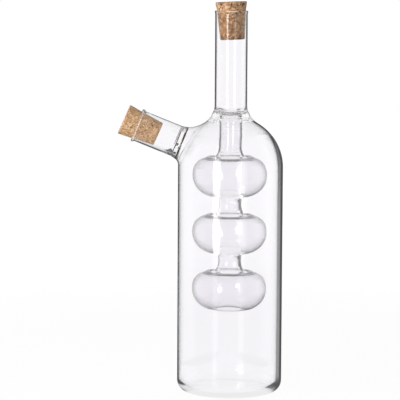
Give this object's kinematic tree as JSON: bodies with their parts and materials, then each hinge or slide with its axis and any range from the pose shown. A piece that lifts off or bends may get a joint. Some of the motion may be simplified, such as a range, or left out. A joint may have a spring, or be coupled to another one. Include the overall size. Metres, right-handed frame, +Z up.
{
  "type": "oil and vinegar bottle",
  "caption": "Clear glass cruet for oil and vinegar: a jar with a slanted side spout, a neck leading to a string of blown bulbs hanging inside it, and a tapered cork in each mouth.",
  "frame": {"origin": "centre of the flat underside of the jar, where it stands on the table", "axes": "+Z up the axis of the jar and neck, the side spout leans out towards -X, +Y completes the frame"},
  "size_m": [0.1106, 0.07, 0.2612],
  "materials": {
    "glass": "clear fire-polished borosilicate glass",
    "cork": "matt natural cork with dark pores"
  },
  "bodies": {
    "glass": {"outer_jar": "glass", "neck_seal_ring": "glass", "neck_tube": "glass", "inner_stem": "glass", "upper_bulb": "glass", "upper_link_tube": "glass", "middle_bulb": "glass", "lower_link_tube": "glass", "lower_bulb": "glass", "spout_weld_ring": "glass", "spout_tube": "glass"},
    "neck_stopper": {"neck_cork": "cork"},
    "spout_stopper": {"spout_cork": "cork"}
  },
  "joints": [
    {"name": "neck_cork_pull", "type": "slide", "parent": "glass", "child": "neck_stopper", "axis": [0, 0, 1], "range_m": [0, 0.045]},
    {"name": "spout_cork_pull", "type": "slide", "parent": "glass", "child": "spout_stopper", "axis": [-0.9285, 0, 0.3714], "range_m": [0, 0.04]}
  ]
}
